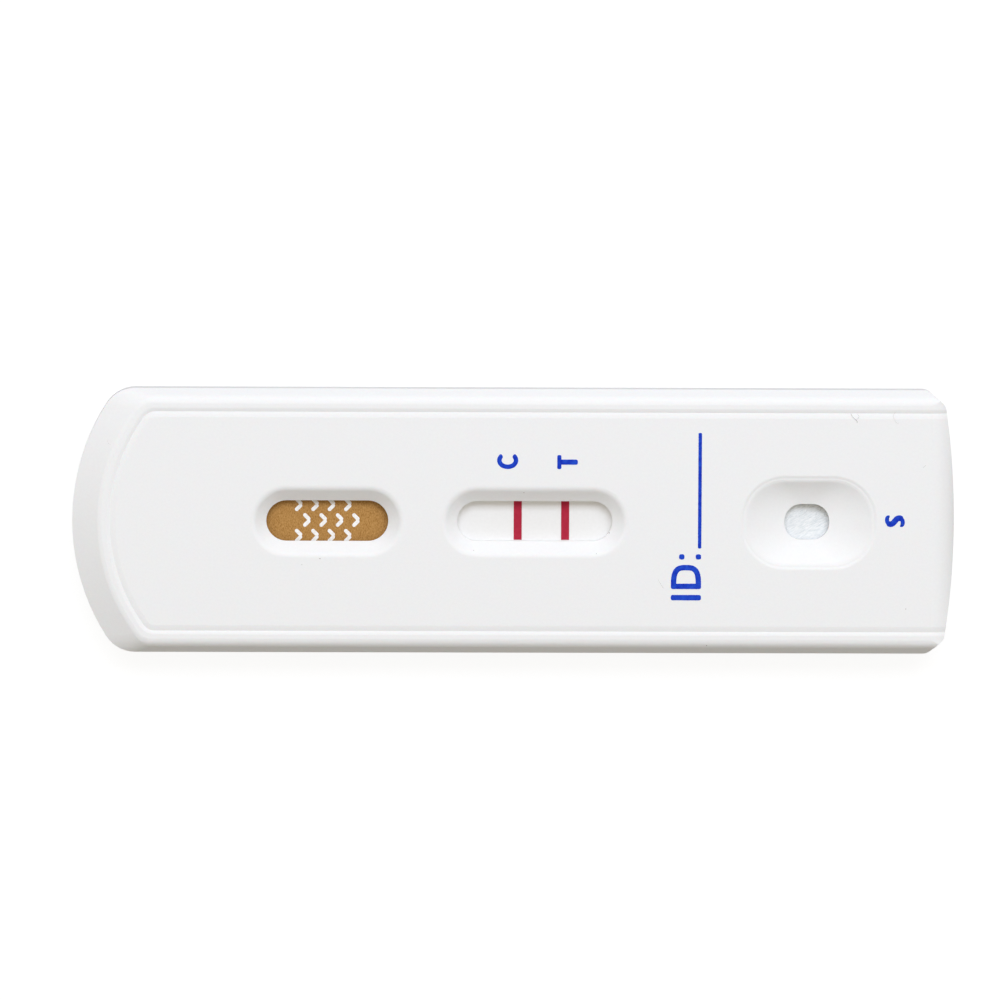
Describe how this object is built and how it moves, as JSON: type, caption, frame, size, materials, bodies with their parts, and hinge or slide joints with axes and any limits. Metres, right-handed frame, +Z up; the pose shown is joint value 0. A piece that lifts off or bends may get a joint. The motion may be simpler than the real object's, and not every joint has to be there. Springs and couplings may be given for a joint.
{
  "type": "lateral flow cassette",
  "caption": "Flat two-part white plastic test cassette with a funnelled sample well, a result window and a label window over a layered paper test strip.",
  "frame": {"origin": "middle of the case's flat underside", "axes": "+X along the case towards the sample well end, +Y across it, +Z up out of the windowed face"},
  "size_m": [0.07, 0.021, 0.005],
  "materials": {
    "case": "satin",
    "card": "satin",
    "membrane": "matte",
    "conjugate": "matte",
    "pad": "matte",
    "label": "matte",
    "reagent": "matte",
    "ink": "satin"
  },
  "bodies": {
    "root": {"upper_shell": "case", "lower_shell": "case", "backing_card": "card", "membrane": "membrane", "conjugate_pad": "conjugate", "sample_pad": "pad", "absorbent_pad": "pad", "strip_label": "label", "control_line": "reagent", "test_line": "reagent"}
  },
  "joints": []
}
